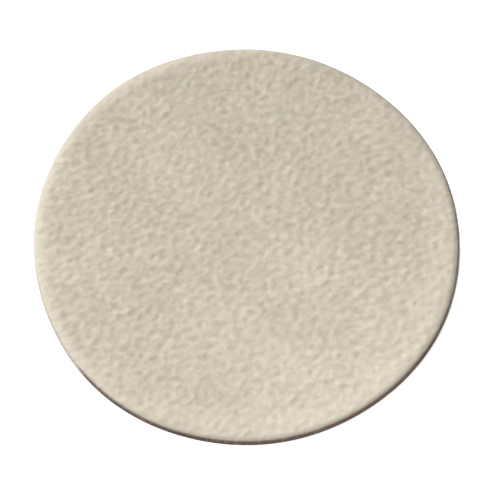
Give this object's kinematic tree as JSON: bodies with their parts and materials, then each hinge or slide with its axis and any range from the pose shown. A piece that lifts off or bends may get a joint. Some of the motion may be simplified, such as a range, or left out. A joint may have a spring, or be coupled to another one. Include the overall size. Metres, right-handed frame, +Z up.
{
  "type": "felt polishing disc",
  "caption": "Round flat pad of pressed wool felt for lapidary polishing, with a double-coated mounting tape on its back under a split paper release liner.",
  "frame": {"origin": "centre of the release liner's lower face, which the disc lies on", "axes": "+Z up along the disc's axis, out of the polishing face; the slit of the liner runs along Y, and its halves peel off along +X and -X"},
  "size_m": [0.1524, 0.1524, 0.0019],
  "materials": {
    "felt": "matt, off-white pressed wool",
    "adhesive": "glossy, pale amber, tacky",
    "film": "glossy, clear polyester",
    "liner": "brown kraft, satin silicone coat on its upper side"
  },
  "bodies": {
    "pad": {"felt_pad": "felt", "felt_side_adhesive": "adhesive", "carrier_film": "film", "plate_side_adhesive": "adhesive"},
    "right_liner": {"release_liner_right": "liner"},
    "left_liner": {"release_liner_left": "liner"}
  },
  "joints": [
    {"name": "right_liner_peel", "type": "slide", "parent": "pad", "child": "right_liner", "axis": [1, 0, 0], "range_m": [0, 0.085]},
    {"name": "left_liner_peel", "type": "slide", "parent": "pad", "child": "left_liner", "axis": [-1, 0, 0], "range_m": [0, 0.085]}
  ]
}
